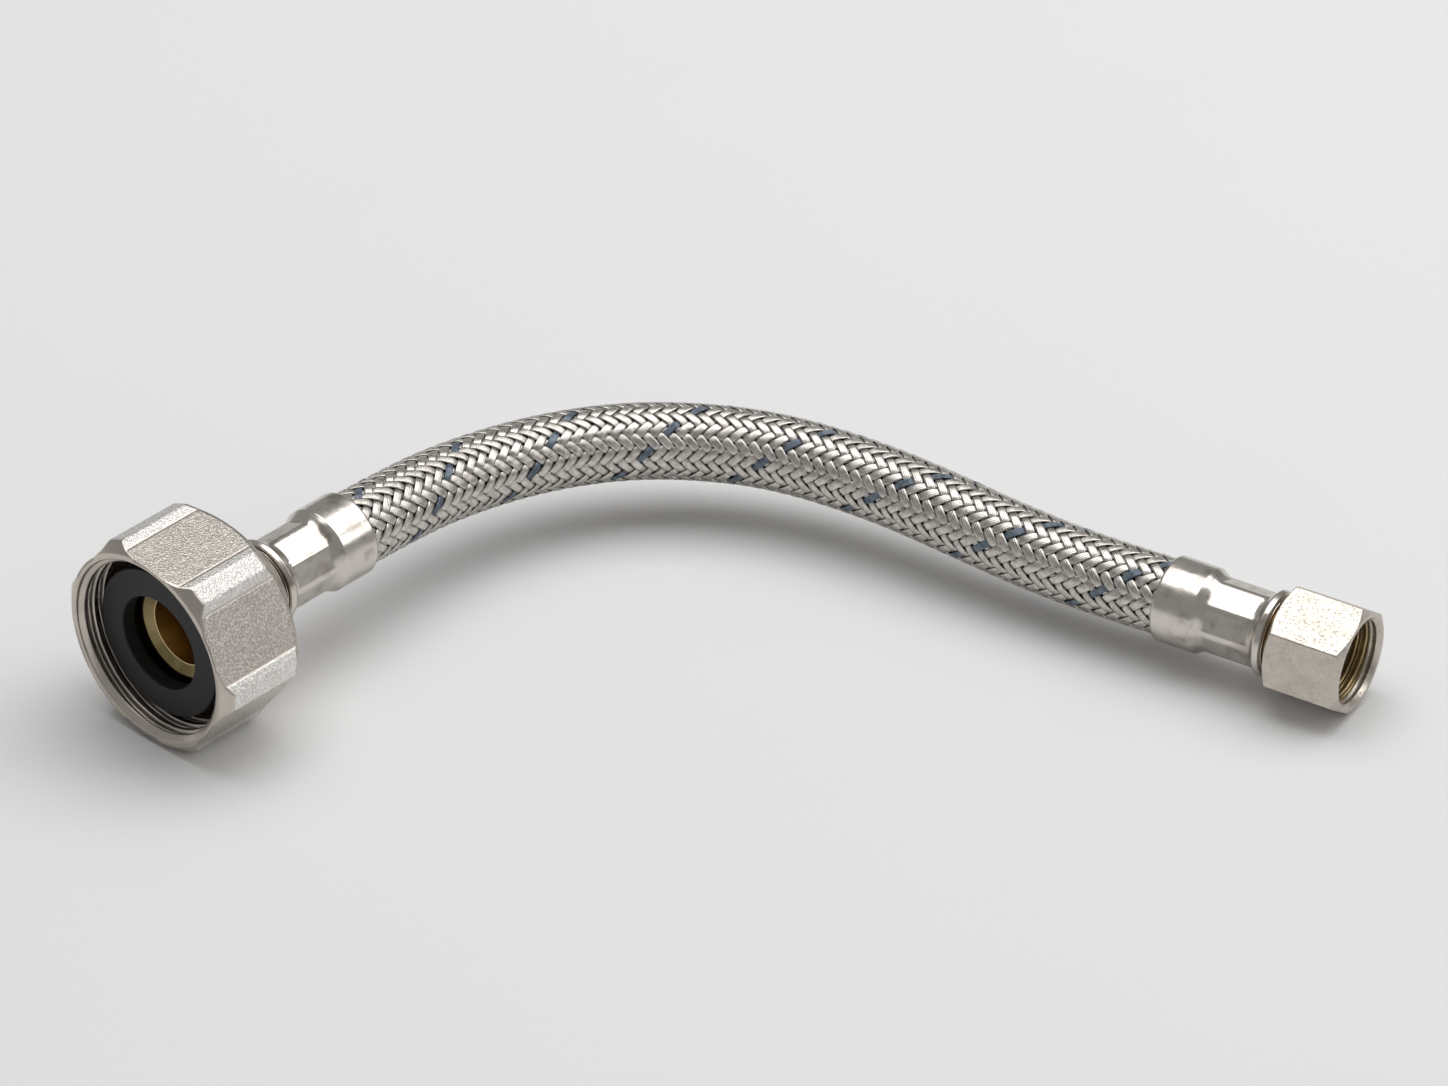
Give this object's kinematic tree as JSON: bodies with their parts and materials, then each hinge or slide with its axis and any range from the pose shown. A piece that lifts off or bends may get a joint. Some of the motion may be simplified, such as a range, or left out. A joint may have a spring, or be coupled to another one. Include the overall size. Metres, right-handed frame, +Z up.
{
  "type": "braided water supply line",
  "caption": "Short flexible water connector: steel-braided hose bent in an arc, with a large ribbed swivel nut on one end and a small hexagonal swivel nut on the other.",
  "frame": {"origin": "on the floor, below the centre of the box around the two end fittings (hose left out)", "axes": "+X from the large nut's end towards the small nut's end, +Y towards the side the hose bows to, +Z up"},
  "size_m": [0.2028, 0.0804, 0.0342],
  "materials": {
    "large_nut_nickel": "nickel-plated, blasted flats and bright rib edges",
    "small_nut_nickel": "nickel-plated, fine satin",
    "large_stem_brass": "turned, dull inside",
    "small_stem_brass": "turned, dull inside",
    "large_ferrule_steel": "bright, crimped",
    "small_ferrule_steel": "bright, crimped",
    "braid_steel": "woven fine wire with blue tracer strands",
    "washer_rubber": "matt black",
    "cone_rubber": "matt black",
    "liner_rubber": "matt black"
  },
  "bodies": {
    "hose": {"large_stem": "large_stem_brass", "large_ferrule": "large_ferrule_steel", "inner_tube": "liner_rubber", "braid_sleeve": "braid_steel", "small_ferrule": "small_ferrule_steel", "small_stem": "small_stem_brass"},
    "large_washer": {"flat_washer": "washer_rubber"},
    "large_swivel": {"large_nut": "large_nut_nickel"},
    "small_washer": {"cone_washer": "cone_rubber"},
    "small_swivel": {"small_nut": "small_nut_nickel"}
  },
  "joints": [
    {"name": "large_float", "type": "slide", "parent": "hose", "child": "large_washer", "axis": [-0.6781, -0.7349, 0.007], "range_m": [0, 0.0012]},
    {"name": "large_spin", "type": "hinge", "parent": "large_washer", "child": "large_swivel", "pos_m": [-0.08938, -0.01277, 0.01718], "axis": [-0.6781, -0.7349, 0.007], "continuous": true},
    {"name": "small_float", "type": "slide", "parent": "hose", "child": "small_washer", "axis": [0.8616, -0.5075, -0.0122], "range_m": [0, 0.001]},
    {"name": "small_spin", "type": "hinge", "parent": "small_washer", "child": "small_swivel", "pos_m": [0.09737, -0.00517, 0.00934], "axis": [0.8616, -0.5075, -0.0122], "continuous": true}
  ]
}
